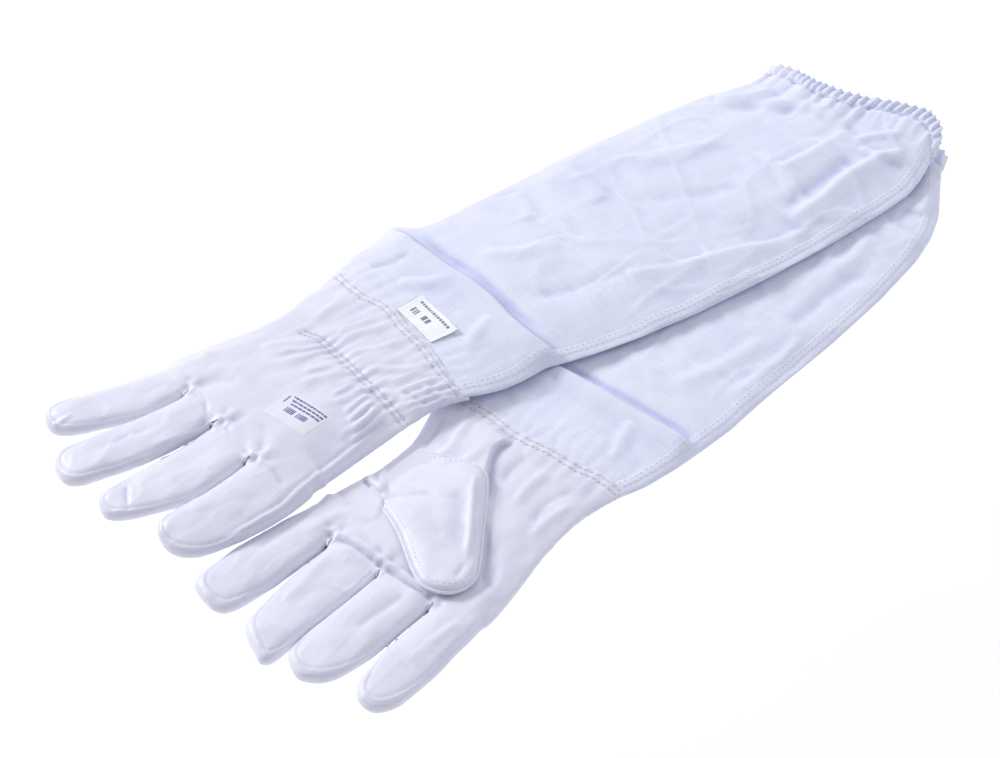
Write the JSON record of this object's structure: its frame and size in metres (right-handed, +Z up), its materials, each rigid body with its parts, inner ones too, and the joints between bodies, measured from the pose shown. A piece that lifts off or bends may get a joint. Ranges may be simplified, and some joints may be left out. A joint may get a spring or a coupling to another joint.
{
  "type": "beekeeping gloves",
  "caption": "Pair of long leather beekeeping gloves with canvas gauntlets and elastic hems, lying flat, the left gauntlet across the right.",
  "frame": {"origin": "centre of the bounding box of the pair as it lies, on the plane it rests on", "axes": "+X from the fingertips to the elbow hems, midway between the two gauntlets; +Y towards the left glove; +Z up"},
  "size_m": [0.5492, 0.2647, 0.0264],
  "materials": {
    "leather": "satin",
    "canvas": "matte woven",
    "elastic": "matte ribbed",
    "thread": "matte",
    "label": "smooth",
    "print": "satin film"
  },
  "bodies": {
    "right_sleeve": {"right_sleeve_canvas": "canvas", "right_sleeve_side_seam": "canvas", "right_hem_casing": "canvas", "right_hem_elastic": "elastic", "right_hem_stitching": "thread"},
    "right_cuff": {"right_cuff_canvas": "canvas", "right_leather_cuff": "leather", "right_join_stitching": "thread", "right_wrist_elastic": "elastic", "right_wrist_stitching": "thread"},
    "right_hand": {"right_back_panel": "leather", "right_palm_panel": "leather"},
    "right_thumb": {"right_thumb_outer": "leather", "right_thumb_inner": "leather", "right_thumb_welt": "leather"},
    "right_index": {"right_index_back": "leather", "right_index_palm": "leather", "right_index_fourchette": "leather"},
    "right_middle": {"right_middle_back": "leather", "right_middle_palm": "leather", "right_middle_fourchette": "leather"},
    "right_ring": {"right_ring_back": "leather", "right_ring_palm": "leather", "right_ring_fourchette": "leather"},
    "right_little": {"right_little_back": "leather", "right_little_palm": "leather", "right_little_fourchette": "leather"},
    "left_sleeve": {"left_sleeve_canvas": "canvas", "left_sleeve_side_seam": "canvas", "left_hem_casing": "canvas", "left_hem_elastic": "elastic", "left_hem_stitching": "thread"},
    "left_cuff": {"left_cuff_canvas": "canvas", "left_leather_cuff": "leather", "left_join_stitching": "thread", "left_wrist_elastic": "elastic", "left_wrist_stitching": "thread"},
    "left_hand": {"left_back_panel": "leather", "left_palm_panel": "leather", "left_print_patch": "print"},
    "left_thumb": {"left_thumb_outer": "leather", "left_thumb_inner": "leather", "left_thumb_welt": "leather"},
    "left_label": {"left_size_label": "label"},
    "left_index": {"left_index_back": "leather", "left_index_palm": "leather", "left_index_fourchette": "leather"},
    "left_middle": {"left_middle_back": "leather", "left_middle_palm": "leather", "left_middle_fourchette": "leather"},
    "left_ring": {"left_ring_back": "leather", "left_ring_palm": "leather", "left_ring_fourchette": "leather"},
    "left_little": {"left_little_back": "leather", "left_little_palm": "leather", "left_little_fourchette": "leather"}
  },
  "joints": [
    {"name": "left_glove_lift", "type": "slide", "parent": "right_sleeve", "child": "left_sleeve", "axis": [0, 0, 1], "range_m": [0, 0.15]},
    {"name": "right_crease_fold", "type": "hinge", "parent": "right_sleeve", "child": "right_cuff", "pos_m": [-0.02741, -0.04438, 0], "axis": [0.1305, -0.9914, 0], "range_deg": [0, 160]},
    {"name": "right_wrist", "type": "hinge", "parent": "right_cuff", "child": "right_hand", "pos_m": [-0.11962, -0.05652, 0.0065], "axis": [-0.1305, 0.9914, 0], "range_deg": [-45, 60]},
    {"name": "right_index_flex", "type": "hinge", "parent": "right_hand", "child": "right_index", "pos_m": [-0.20619, -0.0195, 0.01], "axis": [-0.0523, 0.9986, 0], "range_deg": [-20, 88]},
    {"name": "right_middle_flex", "type": "hinge", "parent": "right_hand", "child": "right_middle", "pos_m": [-0.20228, -0.04924, 0.01], "axis": [-0.1478, 0.989, 0], "range_deg": [-20, 88]},
    {"name": "right_ring_flex", "type": "hinge", "parent": "right_hand", "child": "right_ring", "pos_m": [-0.1981, -0.08097, 0.01], "axis": [-0.1392, 0.9903, 0], "range_deg": [-20, 88]},
    {"name": "right_little_flex", "type": "hinge", "parent": "right_hand", "child": "right_little", "pos_m": [-0.19386, -0.11319, 0.01], "axis": [-0.1305, 0.9914, 0], "range_deg": [-20, 88]},
    {"name": "right_thumb_open", "type": "hinge", "parent": "right_hand", "child": "right_thumb", "pos_m": [-0.1508, -0.01886, 0.0134], "axis": [-0.9914, -0.1305, 0], "range_deg": [0, 90]},
    {"name": "left_crease_fold", "type": "hinge", "parent": "left_sleeve", "child": "left_cuff", "pos_m": [-0.02657, 0.0374, 0.0231], "axis": [0.1253, 0.9921, 0], "range_deg": [0, 160]},
    {"name": "left_wrist", "type": "hinge", "parent": "left_cuff", "child": "left_hand", "pos_m": [-0.11883, 0.04905, 0.0196], "axis": [-0.1253, -0.9921, 0], "range_deg": [-45, 60]},
    {"name": "left_index_flex", "type": "hinge", "parent": "left_hand", "child": "left_index", "pos_m": [-0.194, 0.10038, 0.0161], "axis": [-0.3616, -0.9323, 0], "range_deg": [-28, 80]},
    {"name": "left_middle_flex", "type": "hinge", "parent": "left_hand", "child": "left_middle", "pos_m": [-0.19763, 0.07161, 0.0161], "axis": [-0.2622, -0.965, 0], "range_deg": [-28, 80]},
    {"name": "left_ring_flex", "type": "hinge", "parent": "left_hand", "child": "left_ring", "pos_m": [-0.20139, 0.04184, 0.0161], "axis": [-0.2113, -0.9774, 0], "range_deg": [-28, 80]},
    {"name": "left_little_flex", "type": "hinge", "parent": "left_hand", "child": "left_little", "pos_m": [-0.2054, 0.01009, 0.0161], "axis": [-0.2028, -0.9792, 0], "range_deg": [-28, 80]},
    {"name": "left_thumb_open", "type": "hinge", "parent": "left_hand", "child": "left_thumb", "pos_m": [-0.13799, 0.10489, 0.0127], "axis": [0.9921, -0.1253, 0], "range_deg": [0, 165]},
    {"name": "left_label_flip", "type": "hinge", "parent": "left_cuff", "child": "left_label", "pos_m": [-0.07537, 0.04205, 0.02335], "axis": [-0.1253, -0.9921, 0], "range_deg": [0, 90]}
  ]
}
